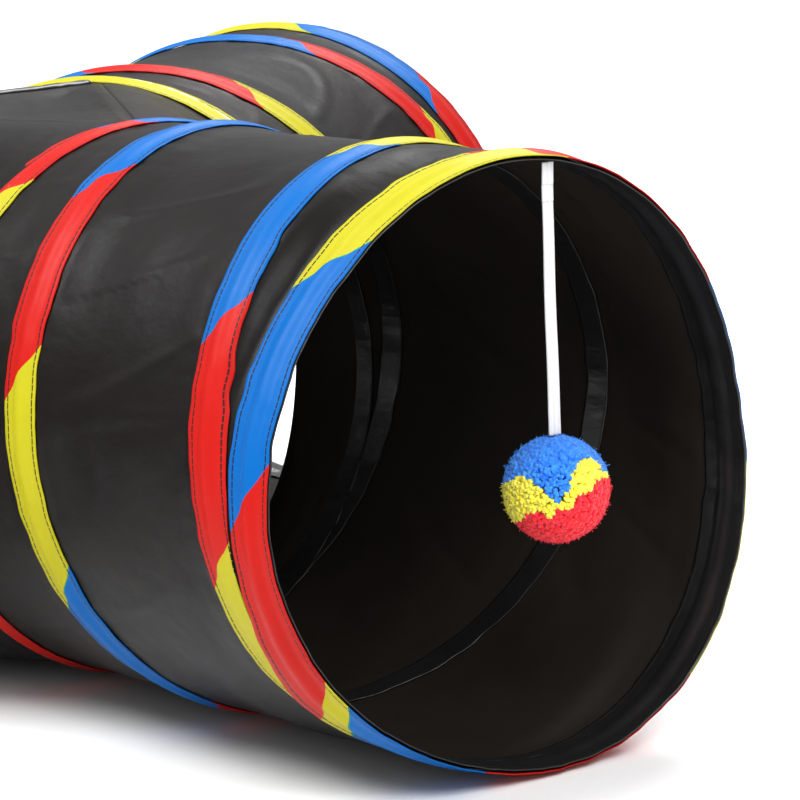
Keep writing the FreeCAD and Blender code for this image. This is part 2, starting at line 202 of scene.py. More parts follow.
# %% Unevenness
def uneven(around, along, cells, seed):
    """Smooth noise from -1 to 1. around repeats after 1, and cells are the bumps each way."""
    many, long = cells
    heights = np.random.default_rng(seed).uniform(-1, 1, (many, long + 4))
    x = np.mod(around, 1) * many
    y = np.clip(along, 0, 1) * long + 1
    left, low = np.floor(x).astype(int), np.floor(y).astype(int)
    x, y = smooth(x - left), smooth(y - low)
    left, after = left % many, (left + 1) % many
    near = heights[left, low] * (1 - x) + heights[after, low] * x
    far = heights[left, low + 1] * (1 - x) + heights[after, low + 1] * x
    return near * (1 - y) + far * y


sample = uneven(np.linspace(0, 1, 50), np.linspace(0, 1, 50), (9, 9), 1)
print("unevenness runs from", sample.min().round(2), "to", sample.max().round(2))

# %% [markdown]
# The flat cut. Blender's grid is added as one square, stretched to the cut's size in edit
# mode, and its UV map is set in metres. After that the points can go anywhere, and the UV map
# still says where on the cut each of them was. Solidify gives the cloth its thickness, with a
# second material for its inside, and it is applied, so that each piece is a finished mesh.


# %% Cutting and rolling cloth
def cut_flat(name, length, width, along, across):
    """A flat piece of cloth on the table, with a UV map in metres."""
    bpy.ops.object.select_all(action="DESELECT")
    bpy.ops.mesh.primitive_grid_add(x_subdivisions=along, y_subdivisions=across, size=1)
    piece = bpy.context.object
    piece.name = piece.data.name = name
    bpy.ops.object.mode_set(mode="EDIT")
    bpy.ops.mesh.select_all(action="SELECT")
    bpy.ops.transform.resize(value=(length, width, 1))
    bpy.ops.object.mode_set(mode="OBJECT")
    layer = piece.data.uv_layers[0].data
    flat = np.empty(len(layer) * 2)
    layer.foreach_get("uv", flat)
    layer.foreach_set("uv", (flat.reshape(-1, 2) * [length, width]).ravel())
    return piece


def points_of(piece):
    """The piece's points, one row each."""
    flat = np.empty(len(piece.data.vertices) * 3)
    piece.data.vertices.foreach_get("co", flat)
    return flat.reshape(-1, 3)


def roll(piece, rule):
    """Moves every point of a flat cut to where the rule puts it. The rule gets 0 to 1 each way."""
    flat = points_of(piece)
    low, high = flat.min(0), flat.max(0)
    along = (flat[:, 0] - low[0]) / (high[0] - low[0])
    across = (flat[:, 1] - low[1]) / (high[1] - low[1])
    piece.data.vertices.foreach_set("co", np.asarray(rule(along, across)).ravel())
    piece.data.update()
    return piece


def edit(piece, *steps):
    """Runs edit-mode operators on all of a piece."""
    bpy.ops.object.select_all(action="DESELECT")
    bpy.context.view_layer.objects.active = piece
    piece.select_set(True)
    bpy.ops.object.mode_set(mode="EDIT")
    for step in steps:
        bpy.ops.mesh.select_all(action="SELECT")
        step()
    bpy.ops.object.mode_set(mode="OBJECT")
    return piece


def close_up(piece):
    """Sews the meeting edges of a rolled cut."""
    return edit(piece, lambda: bpy.ops.mesh.remove_doubles(threshold=1e-5))


def soften(piece):
    """Shades a piece smooth."""
    piece.data.polygons.foreach_set("use_smooth", [True] * len(piece.data.polygons))


def cap(piece):
    """Fills the open ends of a tube and turns all its faces outwards."""
    edit(piece, lambda: bpy.ops.mesh.fill_holes(sides=0),
         lambda: bpy.ops.mesh.normals_make_consistent(inside=False))


def thicken(piece, thickness, offset=-1.0, lining=0):
    """Gives the cloth its thickness. lining is the material step to the inside's finish.

    The piece needs its materials first, because the step is cut short at the last of them.
    """
    solid = piece.modifiers.new("thickness", "SOLIDIFY")
    solid.thickness = thickness
    solid.offset = offset
    solid.use_even_offset = False
    solid.material_offset = lining
    bpy.context.view_layer.objects.active = piece
    bpy.ops.object.modifier_apply(modifier=solid.name)
    soften(piece)
    return piece


made = {}


def keep(piece, body, nodes, finishes):
    """Hangs a piece on its body, hides the frame parts that it stands for and gives it its
    finishes.
    """
    for finish in finishes:
        piece.data.materials.append(finish)
    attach(piece, body)
    if nodes:
        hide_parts(*nodes)
    made[piece.name] = piece
    return piece


# %% [markdown]
# Shader maths in plain Python. A Tone wraps one socket and overloads the operators, so that a
# mask can be written as an expression, and `node` adds any other shader node. Numbers that are
# the same all over a surface go straight on the shader's own sockets.


# %% Shader helper
class Tone:
    """A value in a material that Python's operators work on."""

    def __init__(self, finish, socket):
        self.finish, self.socket = finish, socket

    def maths(self, operation, *values):
        return self.finish.node("ShaderNodeMath", {"operation": operation}, list(values))

    def __add__(self, other):
        return self.maths("ADD", self, other)

    def __radd__(self, other):
        return self.maths("ADD", other, self)

    def __sub__(self, other):
        return self.maths("SUBTRACT", self, other)

    def __rsub__(self, other):
        return self.maths("SUBTRACT", other, self)

    def __mul__(self, other):
        return self.maths("MULTIPLY", self, other)

    def __rmul__(self, other):
        return self.maths("MULTIPLY", other, self)

    def __lt__(self, other):
        return self.maths("LESS_THAN", self, other)

    def __gt__(self, other):
        return self.maths("GREATER_THAN", self, other)

    def __mod__(self, other):
        return self.maths("FLOORED_MODULO", self, other)

    def __abs__(self):
        return self.maths("ABSOLUTE", self)


class Finish:
    """A material under construction, with one Principled shader."""

    def __init__(self, name, **settings):
        self.material = bpy.data.materials.new(name)
        self.material.use_nodes = True
        self.tree = self.material.node_tree
        self.shader = self.tree.nodes["Principled BSDF"]
        for socket, value in settings.items():
            self.shader.inputs[socket.replace("_", " ")].default_value = value

    def node(self, kind, settings=None, inputs=(), output=0):
        """Adds a node: settings first, then the values or links of its sockets."""
        made_node = self.tree.nodes.new(kind)
        for name, value in (settings or {}).items():
            if name == "stops":
                ramp = made_node.color_ramp
                while len(ramp.elements) < len(value):
                    ramp.elements.new(0.5)
                for element, (position, colour) in zip(ramp.elements, value):
                    element.position = position
                    element.color = colour
            else:
                setattr(made_node, name, value)
        pairs = inputs.items() if isinstance(inputs, dict) else enumerate(inputs)
        for key, value in pairs:
            self.put(made_node.inputs[key], value)
        return Tone(self, made_node.outputs[output])

    def put(self, socket, value):
        """Links a Tone to a socket, or sets the socket's own value."""
        if isinstance(value, Tone):
            self.tree.links.new(value.socket, socket)
        else:
            socket.default_value = value

    def feed(self, **inputs):
        """Feeds the shader's sockets."""
        for name, value in inputs.items():
            self.put(self.shader.inputs[name.replace("_", " ")], value)

    def on_cloth(self, stretch=(1, 1, 1)):
        """The UV map in metres, stretched."""
        uv = self.node("ShaderNodeUVMap", {"uv_map": "UVMap"})
        return self.node("ShaderNodeMapping", {"vector_type": "POINT"}, {0: uv, 3: stretch})

    def parts(self, where):
        """The first and second part of a place, such as along and across a tape."""
        return [self.node("ShaderNodeSeparateXYZ", {}, [where], output=axis) for axis in (0, 1)]

    def ramp(self, value, *stops):
        """A colour from a value, through a ramp's stops."""
        return self.node("ShaderNodeValToRGB", {"stops": [
            (position, (*colour, 1)) for position, colour in stops]}, [value])

    def noise(self, where, scale, detail=2.0, rough=0.5):
        """Fractal noise from 0 to 1."""
        return self.node("ShaderNodeTexNoise", {"noise_dimensions": "3D"},
                         {"Vector": where, "Scale": scale, "Detail": detail, "Roughness": rough})

    def mix(self, share, one, other, blend="MIX"):
        """One colour over another."""
        return self.node("ShaderNodeMix", {"data_type": "RGBA", "blend_type": blend},
                         {0: share, 6: one, 7: other}, output=2)

    def relief(self, *layers):
        """Bump from (height, strength, distance in metres) layers, one on the other."""
        normal = None
        for height, strength, distance in layers:
            sockets = {"Height": height, "Strength": strength, "Distance": distance}
            if normal is not None:
                sockets["Normal"] = normal
            normal = self.node("ShaderNodeBump", {}, sockets)
        self.feed(Normal=normal)


print("shader helper ready")

# %% [markdown]
# The shell is thin coated polyester. Its threads are far finer than a millimetre, so the
# weave is only a slight grain. What the eye sees is a satin charcoal outside with soft
# crinkles, and a duller, darker inside. The inside's colour is the cloth's own warm dark tone,
# lightened with painted light to nearly three times the outside's, for the dim light in the legs.


# %% Shell cloth finishes
def weave(finish, thread):
    """Over and under of a plain weave, from 0 to 1, with threads that far apart in metres."""
    cloth = finish.on_cloth((AROUND / thread, AROUND / thread, 1))
    warp, weft = [part.maths("SINE", part) for part in finish.parts(cloth)]
    return warp * weft * 0.5 + 0.5


def shell_finish(name, colour, roughness, crinkle, gloss):
    """Coated polyester: plain weave, small crinkles and a little unevenness in its gloss."""
    finish = Finish(name, Roughness=roughness, Specular_IOR_Level=gloss)
    cloth = finish.on_cloth()
    broad = finish.noise(cloth, 14, 3)
    fine = finish.noise(finish.on_cloth((1.0, 0.55, 1)), 95, 5, 0.6)
    tint = finish.ramp(broad, (0.25, [part * 0.78 for part in colour]),
                       (0.75, [part * 1.2 for part in colour]))
    finish.feed(Base_Color=tint, Roughness=broad * 0.16 + fine * 0.1 + (roughness - 0.13))
    finish.relief((broad, 0.35, 6 * MM), (fine, crinkle, 1.2 * MM),
                  (weave(finish, 0.45 * MM), 0.25, 0.05 * MM))
    return finish.material


SHELL_OUT = shell_finish("shell_outside", (0.0058, 0.0048, 0.0045), 0.38, 0.32, 0.12)
# The inside is painted lighter than the outside: its own warm dark tone plus painted light for the
# dim light inside the legs.
SHELL_IN_PAINTED_LIGHT = shell_finish("shell_inside_painted_light", (0.0165, 0.0132, 0.0104), 0.66, 0.3, 0.08)

# %% [markdown]
# The binding is a cheap glossy ribbon that puckers along its stitching, so it has the
# strongest crinkle of all and small bright glints.


# %% Binding finish
def binding_finish(name, width):
    """Glossy black ribbon with a thread line near each edge."""
    finish = Finish(name, Roughness=0.3, Specular_IOR_Level=0.45)
    cloth = finish.on_cloth((1, 0.45, 1))
    pucker = finish.noise(cloth, 85, 3, 0.55)
    crumple = finish.noise(cloth, 28, 2, 0.5)
    line = stitch_line(finish, width)
    shade = finish.ramp(crumple, (0.0, (0.006, 0.006, 0.0065)), (1.0, (0.016, 0.016, 0.017)))
    finish.feed(Base_Color=shade, Roughness=pucker * 0.2 + 0.24)
    finish.relief((crumple, 0.7, 4 * MM), (pucker, 0.55, 1.5 * MM), (line, 0.5, -0.2 * MM))
    return finish.material


STITCH_INSET = 2.3 * MM
STITCH_LENGTH = 3.2 * MM
STITCH_GAP = 0.5 * MM
THREAD_HALF = 0.42 * MM


def stitch_line(finish, width):
    """1 on the thread of two rows of stitches, one near each edge of a tape."""
    along, across = finish.parts(finish.on_cloth())
    drift = (finish.noise(finish.on_cloth((1, 0, 1)), 24, 1) - 0.5) * (0.9 * MM)
    from_edge = width / 2 - abs(across + drift - width / 2)
    row = abs(from_edge - STITCH_INSET) < THREAD_HALF
    thread = (along % STITCH_LENGTH) > STITCH_GAP
    return row * thread


print("shell and binding finishes made")

# %% [markdown]
# The satin tape is printed in lengths of red, yellow and blue that end on a slant, with a
# hair of green where yellow and blue ink meet. The place on the tape, plus a share of the place
# across it, is compared with every start in turn, and each one passed lays the next colour
# over the last. A colour ramp would be shorter, but its steps are too coarse for so long a tape.

# %% Tape finishes
RED, YELLOW, BLUE = (0.45, 0.008, 0.005, 1), (0.43, 0.395, 0.011, 1), (0.0, 0.105, 0.38, 1)
GREEN = (0.01, 0.22, 0.16, 1)
COLOURS = {"red": RED, "yellow": YELLOW, "blue": BLUE}
NEXT = {"yellow": "red", "red": "blue", "blue": "yellow"}
SLANT = 1.2                            # metres along the tape for each metre across it
THREAD = (0.012, 0.010, 0.012, 1)
SHADED = (0.72, 0.72, 0.76, 1)
GREEN_HALF = 0.45 * MM


def tape_finish(name, length, width, first, starts):
    """Satin tape whose colours change at the given shares of its length."""
    finish = Finish(name, Roughness=0.45, Specular_IOR_Level=0.10, Sheen_Weight=0.01,
                    Sheen_Roughness=0.3)
    uv = finish.on_cloth()
    along, across = finish.parts(uv)
    bleed = (finish.noise(uv, 700, 2) - 0.5) * (0.7 * MM)
    reached = along + (across - width / 2) * SLANT + bleed
    print_of_colour, colour = COLOURS[first], first
    for start in starts:
        following = NEXT[colour]
        passed = reached > start * length
        print_of_colour = finish.mix(passed, print_of_colour, COLOURS[following])
        if {colour, following} == {"yellow", "blue"}:
            seam = abs(reached - start * length) < GREEN_HALF
            print_of_colour = finish.mix(seam, print_of_colour, GREEN)
        colour = following
    grain = finish.noise(finish.on_cloth((1, 0.12, 1)), 2600, 2)
    cloudy = finish.noise(uv, 60, 3)
    shaded = finish.mix(cloudy * 0.28 + grain * 0.12, print_of_colour, SHADED, "MULTIPLY")
    line = stitch_line(finish, width)
    stitched = finish.mix(line * 0.97, shaded, THREAD)
    finish.feed(Base_Color=stitched, Roughness=grain * 0.16 + cloudy * 0.12 + 0.3)
    finish.relief((cloudy, 0.25, 1.5 * MM), (grain, 0.2, 0.06 * MM), (line, 0.6, -0.25 * MM))
    return finish.material


print("tape colours, each with the one that follows it:", NEXT)


# %% [markdown]
# The last finishes: drawn spring wire, white braided elastic and cut acrylic yarn.


# %% Wire, elastic, yarn
def wire_finish():
    """Drawn spring steel."""
    finish = Finish("spring_steel", Metallic=1.0, Roughness=0.35)
    where = finish.node("ShaderNodeTexCoord", output=3)
    drawn = finish.noise(where, 400, 3)
    shade = finish.ramp(drawn, (0.2, (0.30, 0.30, 0.31)), (0.8, (0.52, 0.52, 0.54)))
    finish.feed(Base_Color=shade, Roughness=drawn * 0.25 + 0.25)
    return finish.material


def elastic_finish():
    """White braid: fine ribs along the strap, crossed by the pull of the rubber."""
    finish = Finish("white_elastic", Roughness=0.7, Specular_IOR_Level=0.3, Sheen_Weight=0.2)
    along, across = finish.parts(finish.on_cloth())
    ribs, picks = across * (AROUND / (0.9 * MM)), along * (AROUND / (0.7 * MM))
    ribs = ribs.maths("SINE", ribs) * 0.5 + 0.5
    picks = picks.maths("SINE", picks) * 0.5 + 0.5
    braid = ribs * 0.6 + picks * 0.4
    finish.feed(Base_Color=finish.ramp(braid, (0.0, (0.53, 0.53, 0.55)), (0.7, (0.68, 0.68, 0.69))))
    finish.relief((braid, 0.5, 0.12 * MM))
    return finish.material


def yarn_finish(name, light, deep):
    """Cut acrylic yarn: every tuft a slightly different shade."""
    finish = Finish(name, Roughness=0.85, Specular_IOR_Level=0.12, Sheen_Weight=0.2,
                    Sheen_Roughness=0.5)
    where = finish.node("ShaderNodeTexCoord", output=3)
    tuft = finish.noise(where, 380, 3)
    fibre = finish.noise(where, 2600, 2)
    finish.feed(Base_Color=finish.ramp(tuft * 0.7 + fibre * 0.3, (0.3, deep), (0.62, light)))
    finish.relief((fibre, 0.6, 0.25 * MM))
    return finish.material


STEEL = wire_finish()
ELASTIC = elastic_finish()
YARNS = [yarn_finish("yarn_blue", (0.06, 0.34, 0.95), (0.006, 0.14, 0.80)),
         yarn_finish("yarn_yellow", (0.97, 0.92, 0.12), (0.92, 0.76, 0.02)),
         yarn_finish("yarn_red", (0.95, 0.035, 0.06), (0.86, 0.012, 0.02))]
print("yarns:", [yarn.name for yarn in YARNS])

# %% [markdown]
# The elastic is the only cord, and it is short. It hangs from the top of the front mouth,
# pulled straight by the pompom, so its route is three points and a NURBS line through them.
# The strap is a flat cut, wrapped round that line.

# %% The hanging elastic
STRAP_WIDTH, STRAP_THICKNESS = 6 * MM, 1.2 * MM
SQUARENESS = 0.45                      # 1 makes the strap's section an ellipse, 0 a rectangle
ROUTE = [(349.5, 26.0, 110.8), (349.5, 26.0, 76.0), (349.5, 27.5, 12.0)]


def above_floor(point):
    """A point in millimetres from the leg's axis, in the row frame in metres."""
    return Vector(point) * MM + Vector((0, 0, AXIS_HEIGHT))


route = bpy.data.curves.new("elastic_route", "CURVE")
route.dimensions = "3D"
line = route.splines.new("NURBS")
line.points.add(len(ROUTE) - 1)
for knot, point in zip(line.points, ROUTE):
    knot.co = (*above_floor(point), 1)
line.order_u = 3
line.use_endpoint_u = True
line.resolution_u = 12
guide = bpy.data.objects.new("elastic_route", route)
bpy.context.scene.collection.objects.link(guide)
bpy.context.view_layer.update()
traced = bpy.data.meshes.new_from_object(guide)
middle_line = np.array([vertex.co for vertex in traced.vertices])
bpy.data.objects.remove(guide)
bpy.data.meshes.remove(traced)


def strap(name, path, wider=0.0):
    """A flat strap with rounded edges down a path. wider is how much it widens on its way."""
    path = np.asarray(path)
    lengths = np.concatenate([[0], np.cumsum(np.linalg.norm(np.diff(path, axis=0), axis=1))])
    around = 2 * (STRAP_WIDTH + STRAP_THICKNESS)
    rows = max(4, int(lengths[-1] / (0.8 * MM)))
    piece = cut_flat(name, lengths[-1], around, rows, 28)

    def rule(along, across):
        at = along * lengths[-1]
        middle = np.stack([np.interp(at, lengths, path[:, axis]) for axis in range(3)], 1)
        turn = across * AROUND
        side = np.sign(np.sin(turn)) * np.abs(np.sin(turn)) ** SQUARENESS
        face = np.sign(np.cos(turn)) * np.abs(np.cos(turn)) ** SQUARENESS
        half = STRAP_WIDTH / 2 * (1 - wider + 2 * wider * along)
        sway = 0.12 * MM * np.sin(at / (9 * MM))
        middle[:, 1] += side * half + sway
        middle[:, 0] += face * STRAP_THICKNESS / 2
        return middle

    roll(piece, rule)
    edit(piece, lambda: bpy.ops.mesh.remove_doubles(threshold=1e-6))
    cap(piece)
    soften(piece)
    return piece


elastic = strap("elastic_strap", middle_line, 0.06)
keep(elastic, "toy_cord", ["toy_cord"], [ELASTIC])

tab_top = above_floor((349.5, 26.0, 117.8))
tab = strap("elastic_tab", [tab_top, above_floor(ROUTE[0])])
keep(tab, "toy_tab", ["toy_cord_tab"], [ELASTIC])
sewn_top = above_floor((350.5, 25.6, 127.6))
sewn = strap("elastic_sewn_end", [sewn_top, tab_top])
keep(sewn, "front_mouth", [], [ELASTIC])

# %% [markdown]
# The pompom is cut pile: thousands of short tufts of yarn that all point away from the tie and
# end on a sphere. One tuft is modelled, a blunt five-sided plug with a fuzzy end, and copied to
# evenly spread directions with a little disorder. A bumpy ball would do from afar, but its
# outline would be smooth, and the real one's isn't. The colours lie as the yarn was wound:
# blue above, a zigzag of yellow and red below.

# %% The pompom
pompom_low, pompom_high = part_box("toy_pompom")
POMPOM_CENTRE = np.array((pompom_low + pompom_high) / 2)
POMPOM_RADIUS = (pompom_high.x - pompom_low.x) / 2
TUFTS, FIBRES = 4300, 3200
GOLDEN_TURN = math.pi * (3 - math.sqrt(5))


def spread(count):
    """Evenly spread directions."""
    index = np.arange(count)
    height = 1 - (2 * index + 1) / count
    ring, turn = np.sqrt(1 - height ** 2), index * GOLDEN_TURN
    return np.stack([ring * np.cos(turn), ring * np.sin(turn), height], 1)


# Lower edge of the blue and upper edge of the red, as (across, height) in radii of the ball.
BLUE_EDGE = [(-1, 0.08), (-0.67, 0.27), (-0.43, 0.12), (-0.27, -0.10), (0, -0.25),
             (0.09, -0.05), (0.21, 0), (0.27, 0.33), (0.38, 0.48), (0.56, 0.64), (0.75, 0.5),
             (1, 0.2)]
RED_EDGE = [(-1, -0.75), (-0.68, -0.6), (-0.56, -0.46), (-0.32, -0.4), (-0.17, -0.55),
            (0.04, -0.36), (0.21, -0.42), (0.34, -0.12), (0.67, -0.03), (0.75, 0.18), (1, 0.2)]


def yarn_colour(directions, draw):
    """0 blue, 1 yellow or 2 red, from where a tuft points."""
    aside = directions @ np.array(right) + draw.normal(0, 0.008, len(directions))
    tall = directions @ np.array(up) + draw.normal(0, 0.012, len(directions))
    blue = np.interp(aside, *np.transpose(BLUE_EDGE))
    red = np.interp(aside, *np.transpose(RED_EDGE))
    return np.where(tall > blue, 0, np.where(tall > red, 1, 2))


def one_tuft(sides, rings, name):
    """The points and faces of one tuft that stands on its root along +Z, one unit tall."""
    bpy.ops.object.select_all(action="DESELECT")
    bpy.ops.mesh.primitive_cylinder_add(vertices=sides, radius=1, depth=1, end_fill_type="TRIFAN",
                                        location=(0, 0, 0.5))
    tuft = bpy.context.object
    tuft.name = name
    bpy.ops.object.transform_apply(location=True, rotation=True, scale=True)
    bpy.ops.object.mode_set(mode="EDIT")
    bpy.ops.mesh.select_all(action="SELECT")
    for ring in range(rings):
        bpy.ops.mesh.bisect(plane_co=(0, 0, (ring + 1) / (rings + 1)), plane_no=(0, 0, 1))
        bpy.ops.mesh.select_all(action="SELECT")
    bpy.ops.object.mode_set(mode="OBJECT")
    points = points_of(tuft)
    faces = [list(polygon.vertices) for polygon in tuft.data.polygons]
    bpy.data.objects.remove(tuft)
    return points, faces


def pile(directions, shape, tall, wide, draw):
    """Copies one tuft to every direction, with its own length, thickness and twist."""
    points, faces = shape
    everything, all_faces = [], []
    for number, direction in enumerate(directions):
        axis = Vector(direction).normalized()
        twist = Matrix.Rotation(draw.uniform(0, 6.28), 3, "Z")
        turn = axis.to_track_quat("Z", "Y").to_matrix() @ twist
        root, tip = tall[number]
        body = points.copy()
        height = body[:, 2]
        swell = 0.5 + 0.6 * height
        body[:, :2] *= (wide[number] * swell)[:, None]
        body[:, 2] = root + height * (tip - root)
        body[height > 0.6] += draw.normal(0, wide[number] * 0.12, (int((height > 0.6).sum()), 3))
        everything.append(body @ np.array(turn).T + POMPOM_CENTRE)
        all_faces += [[corner + number * len(points) for corner in face] for face in faces]
    return np.concatenate(everything), all_faces, len(faces)


def pompom():
    """The whole ball of yarn as one piece with three finishes."""
    draw = np.random.default_rng(7)
    groups = []
    ways = spread(TUFTS)
    ways += draw.normal(0, 0.03, ways.shape)
    outer = POMPOM_RADIUS * draw.uniform(0.975, 1.015, TUFTS)
    tall = np.stack([np.full(TUFTS, POMPOM_RADIUS * 0.6), outer], 1)
    groups.append((ways, one_tuft(5, 1, "tuft"), tall, draw.uniform(0.75, 0.98, TUFTS) * MM))
    stray = draw.normal(0, 1, (FIBRES, 3))
    stray /= np.linalg.norm(stray, axis=1)[:, None]
    length = POMPOM_RADIUS * (1.0 + np.abs(draw.normal(0, 0.028, FIBRES)))
    tall = np.stack([np.full(FIBRES, POMPOM_RADIUS * 0.9), length], 1)
    groups.append((stray, one_tuft(3, 0, "fibre"), tall, np.full(FIBRES, 0.11 * MM)))
    points, faces, shades = [], [], []
    for ways, shape, tall, wide in groups:
        colours = yarn_colour(ways / np.linalg.norm(ways, axis=1)[:, None], draw)
        more, more_faces, each = pile(ways, shape, tall, wide, draw)
        offset = sum(len(block) for block in points)
        points.append(more)
        faces += [[corner + offset for corner in face] for face in more_faces]
        shades += list(np.repeat(colours, each))
    mesh = bpy.data.meshes.new("pompom_yarn")
    mesh.from_pydata(np.concatenate(points).tolist(), [], faces)
    piece = bpy.data.objects.new("pompom_yarn", mesh)
    bpy.context.scene.collection.objects.link(piece)
    for yarn in YARNS:
        mesh.materials.append(yarn)
    mesh.polygons.foreach_set("material_index", shades)
    soften(piece)
    return piece


ball = pompom()
keep(ball, "toy_pompom", ["toy_pompom"], [])
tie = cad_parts["toy_pompom_tie"]
tie.data.materials.clear()
tie.data.materials.append(ELASTIC)
print("pompom:", len(ball.data.polygons), "faces on", TUFTS, "tufts and", FIBRES, "loose fibres")

# %% [markdown]
# The sleeve. It starts under the middle of the mouth tape and ends under the hub hoop. Where
# a tape holds it, it is tight. Between the wires it is slack, so it dips inwards, and short
# folds run off from the stitching and fade. The dips and folds are moved into the mesh and not
# left to the bump, because they shape the highlights and the edge of the shadow.

# %% Sleeves
SLEEVE_START = 12 * MM


def mouth_depth(angle):
    """Depth of the middle of a mouth's tape."""
    return lean(angle) + MOUTH_TAPE_WIDTH / 2


def slack(angle, depth):
    """How far, in metres, a point of the sleeve is from the nearest tape's edge."""
    turns = np.mod(angle, AROUND)
    nearest = np.minimum(np.abs(depth - mouth_depth(angle)) - MOUTH_TAPE_WIDTH / 2 - 1.5 * MM,
                         np.abs(HOOP_DEPTH - depth) - HUB_TAPE_WIDTH / 2)
    for turn in range(3):
        from_coil = np.abs(depth - coil_depth(turns + turn * AROUND)) - COIL_TAPE_WIDTH / 2
        nearest = np.minimum(nearest, from_coil)
    return nearest


def sleeve(leg, seed):
    """The cloth tube of one leg."""
    length = HOOP_DEPTH - SLEEVE_START
    piece = cut_flat(f"{leg}_sleeve_cloth", AROUND * CLOTH_RADIUS, length, 330, 96)

    def rule(along, across):
        angle = along * AROUND
        start = SLEEVE_START + lean(angle)
        depth = start + across * (HOOP_DEPTH - 0.4 * MM - start)
        away = slack(angle, depth)
        loose = smooth(away / (26 * MM))
        near = np.clip(away, 0, 1) / MM
        puckers = np.abs(uneven(along, across, (150, 5), seed))
        puckers = puckers * np.exp(-near / 9) * smooth(near / 3)
        pulls = uneven(along + across * 0.06, across, (46, 6), seed + 1)
        pulls = pulls * np.exp(-near / 26) * smooth(near / 5)
        creases = np.abs(uneven(along + across * 0.10, across, (21, 2), seed + 4))
        creases = 1 - smooth(creases / 0.16)
        waved = uneven(along - across * 0.05, across, (17, 7), seed + 2)
        broad = uneven(along, across, (7, 3), seed + 3)
        dip = loose * (0.8 + 0.8 * broad + 0.7 * waved - 0.7 * creases)
        dip = dip + 0.7 * puckers + 0.6 * (pulls + 0.3)
        dip = np.clip(dip, -0.2, 4) * smooth(near / 2) * MM
        return place(leg, angle, CLOTH_RADIUS - dip, depth)

    close_up(roll(piece, rule))
    keep(piece, "hub", [f"{leg}_sleeve"], [SHELL_OUT, SHELL_IN_PAINTED_LIGHT])
    return thicken(piece, CLOTH_THICKNESS, lining=1)


for number, leg in enumerate(LEG_TURNS):
    tube = sleeve(leg, 20 + 10 * number)
    print(tube.name, len(tube.data.polygons), "faces")

# %% [markdown]
# Tape and binding. A tape lies flat at both margins and rises over the wire in the middle.
# Its edges wander by half a millimetre and pucker between the stitches. The mouth's tape and
# the hub hoop's close on themselves. The coil's climbs along its leg and runs in under the
# mouth tape, where a cut along the askew mouth trims it.

# %% Tapes, bindings and wires
RIDGE_HEIGHT = 1.7 * MM
RIDGE_HALF = 6 * MM


def tape_profile(across, width):
    """Height of the tape's outer face above its margins, over the wire in its middle."""
    aside = (across - 0.5) * width
    rise = RIDGE_HEIGHT * np.cos(np.clip(np.abs(aside) / RIDGE_HALF, 0, 1) * math.pi / 2) ** 1.6
    from_edge = width / 2 - np.abs(aside)
    groove = 0.22 * MM * np.exp(-((from_edge - STITCH_INSET) / (0.6 * MM)) ** 2)
    return rise - groove


def edge_wander(along, across, length, seed):
    """Sideways shift of a tape's points, most at its two edges."""
    cells = int(length / (9 * MM))
    margin = 2 * across - 1
    drift = uneven(along, np.full_like(along, 0.1), (cells, 2), seed)
    breathe = uneven(along, np.full_like(along, 0.7), (cells, 2), seed + 1)
    return (0.5 * drift + 0.8 * breathe * margin ** 3) * MM


def ribbon(name, leg, width, angles, depth_rule, radius, ridge, seed, thickness,
           spread_rule=None):
    """A ribbon wound round a leg between two angles, at the depth that the rule gives.

    ridge is how much of the wire's rise it shows at an angle, outwards if positive, and
    spread_rule moves its points further in depth and radius.
    """
    first, last = angles
    length = abs(last - first) * CLOTH_RADIUS
    columns = 14 if width < 23 * MM else 20
    piece = cut_flat(name, length, width, int(length / (2.4 * MM)), columns)

    def rule(along, across):
        angle = first + along * (last - first)
        depth = depth_rule(angle) + (across - 0.5) * width
        depth = depth + edge_wander(along, across, length, seed)
        pucker = uneven(along, across, (int(length / (5 * MM)), 4), seed + 2)
        out = pucker * 0.16 * MM * np.abs(2 * across - 1)
        out = out + ridge(angle) * tape_profile(across, width)
        if spread_rule:
            wider, higher = spread_rule(angle, across)
            depth, out = depth + wider, out + higher
        return place(leg, angle, radius + out, depth)

    roll(piece, rule)
    if abs(last - first - AROUND) < SMALLEST:
        close_up(piece)
    return thicken(piece, thickness)


def over_wire(angle):
    """A tape rises over its wire."""
    return np.ones_like(angle)


def flat(angle):
    """A lining lies flat."""
    return np.zeros_like(angle)


def rolled_in(angle):
    """Share of the mouth's wire that has rolled to the inside, on the far side of the mouth."""
    return smooth(-np.sin(angle - math.radians(12)) / 0.5)


def over_coil_end(angle, across):
    """The mouth tape is pulled wide and lifted where the coil runs in under it."""
    near = smooth(1 - np.abs(np.degrees(angle) - 50) / 30)
    return 6 * MM * near * across ** 2, 2.8 * MM * near * across ** 1.5


def hoop_depth(angle):
    """Depth of the hub hoop, the same all round."""
    return np.full_like(angle, HOOP_DEPTH)


def wire(name, leg, angles, depth_rule, sunk=0.0):
    """A round wire wound round a leg. sunk is how far it sits further in where it has rolled."""
    first, last = angles
    length = abs(last - first) * WIRE_ORBIT
    piece = cut_flat(name, length, AROUND * WIRE_RADIUS, int(length / (4 * MM)), 8)

    def rule(along, across):
        angle = first + along * (last - first)
        turn = across * AROUND
        orbit = WIRE_ORBIT - 0.35 * MM - sunk * rolled_in(angle)
        return place(leg, angle, orbit - WIRE_RADIUS * 0.55 * np.cos(turn),
                     depth_rule(angle) + WIRE_RADIUS * 0.8 * np.sin(turn))

    roll(piece, rule)
    close_up(piece)
    cap(piece)
    soften(piece)
    return piece


